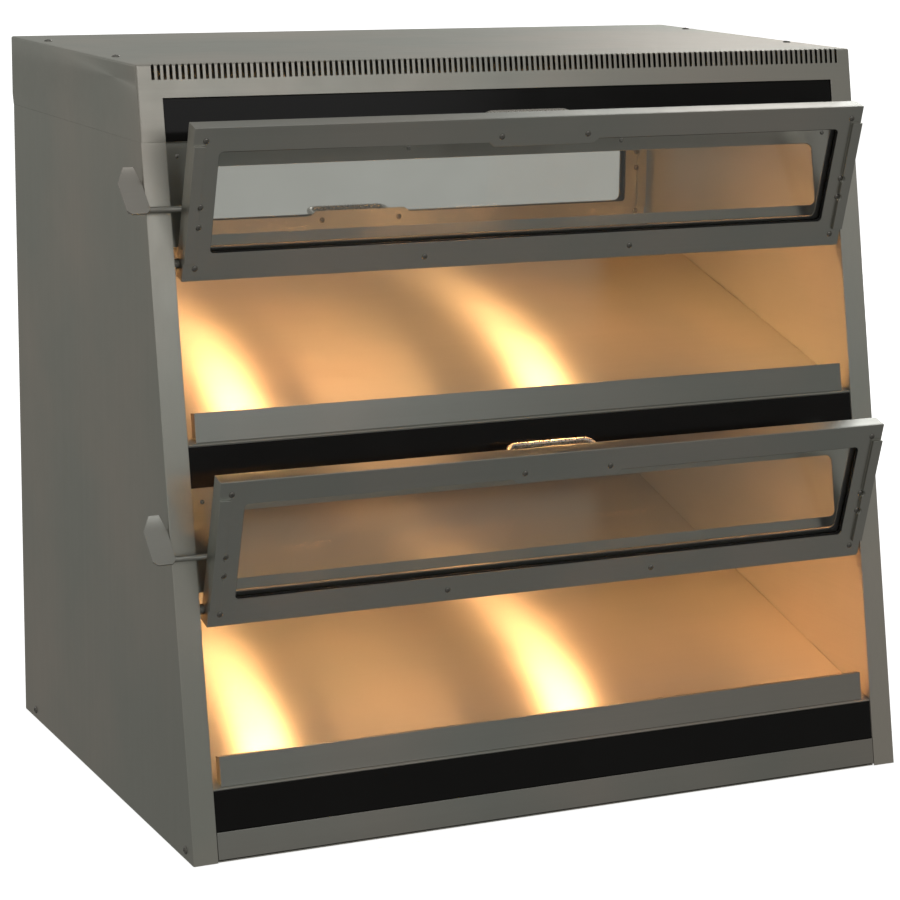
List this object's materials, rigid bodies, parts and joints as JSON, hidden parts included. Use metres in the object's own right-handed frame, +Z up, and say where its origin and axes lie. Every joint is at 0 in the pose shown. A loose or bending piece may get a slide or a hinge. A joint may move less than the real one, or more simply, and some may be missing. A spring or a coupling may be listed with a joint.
{
  "type": "food holding cabinet",
  "caption": "Heated two-tier countertop holding cabinet with a slanted front, sloped shelves, heat lamps and flip-up glazed doors front and back.",
  "frame": {"origin": "centre of the base underside", "axes": "+Z up, front of the cabinet towards -Y, +X to the right seen from the front"},
  "size_m": [0.9439, 0.6635, 0.8623],
  "materials": {
    "casing_steel": "brushed",
    "liner_steel": "brushed",
    "frame_steel": "brushed",
    "black_glass": "gloss",
    "clear_glass": "polished",
    "gasket": "matte",
    "pull_wire": "polished",
    "fastener_steel": "polished",
    "reflector": "polished",
    "quartz": "polished",
    "ceramic": "matte",
    "circuit_board": "satin",
    "gland_plastic": "matte"
  },
  "bodies": {
    "cabinet": {"base_pan": "casing_steel", "cable_gland": "gland_plastic", "ceiling_lower": "liner_steel", "ceiling_upper": "liner_steel", "control_board": "circuit_board", "front_glass_lower": "black_glass", "front_glass_middle": "black_glass", "front_glass_upper": "black_glass", "heat_lamps_lower": "quartz", "heat_lamps_upper": "quartz", "housing_screws": "fastener_steel", "inner_wall_left": "liner_steel", "inner_wall_right": "liner_steel", "kick_panel": "casing_steel", "lamp_guards": "pull_wire", "lamp_reflector_lower": "reflector", "lamp_reflector_upper": "reflector", "lamp_sockets": "ceramic", "pivot_pins": "fastener_steel", "rear_panel_lower": "casing_steel", "rear_panel_middle": "casing_steel", "shelf_lip_lower": "liner_steel", "shelf_lip_upper": "liner_steel", "shelf_lower": "liner_steel", "shelf_upper": "liner_steel", "side_panel_left": "casing_steel", "side_panel_right": "casing_steel", "top_cap": "casing_steel", "transom_frame_lower": "frame_steel", "transom_frame_upper": "frame_steel", "transom_glass_lower": "clear_glass", "transom_glass_upper": "clear_glass", "transom_rivets": "fastener_steel"},
    "front_door_upper": {"front_door_gasket_upper": "gasket", "front_door_glass_upper": "clear_glass", "front_door_lever_upper": "frame_steel", "front_door_pull_upper": "pull_wire", "front_door_retainer_upper": "frame_steel", "front_door_screws_upper": "fastener_steel", "front_door_tray_upper": "frame_steel"},
    "front_door_lower": {"front_door_gasket_lower": "gasket", "front_door_glass_lower": "clear_glass", "front_door_lever_lower": "frame_steel", "front_door_pull_lower": "pull_wire", "front_door_retainer_lower": "frame_steel", "front_door_screws_lower": "fastener_steel", "front_door_tray_lower": "frame_steel"},
    "rear_door_upper": {"rear_door_gasket_upper": "gasket", "rear_door_glass_upper": "clear_glass", "rear_door_pull_upper": "pull_wire", "rear_door_retainer_upper": "frame_steel", "rear_door_screws_upper": "fastener_steel", "rear_door_tray_upper": "frame_steel"},
    "rear_door_lower": {"rear_door_gasket_lower": "gasket", "rear_door_glass_lower": "clear_glass", "rear_door_pull_lower": "pull_wire", "rear_door_retainer_lower": "frame_steel", "rear_door_screws_lower": "fastener_steel", "rear_door_tray_lower": "frame_steel"}
  },
  "joints": [
    {"name": "front_door_upper_flip", "type": "hinge", "parent": "cabinet", "child": "front_door_upper", "pos_m": [0, -0.18206, 0.64608], "axis": [1, 0, 0], "range_deg": [0, 153.9]},
    {"name": "front_door_lower_flip", "type": "hinge", "parent": "cabinet", "child": "front_door_lower", "pos_m": [0, -0.25477, 0.27408], "axis": [1, 0, 0], "range_deg": [0, 153.9]},
    {"name": "rear_door_upper_flip", "type": "hinge", "parent": "cabinet", "child": "rear_door_upper", "pos_m": [0, 0.307, 0.75892], "axis": [1, 0, 0], "range_deg": [0, 110]},
    {"name": "rear_door_lower_flip", "type": "hinge", "parent": "cabinet", "child": "rear_door_lower", "pos_m": [0, 0.307, 0.40641], "axis": [1, 0, 0], "range_deg": [0, 110]}
  ]
}
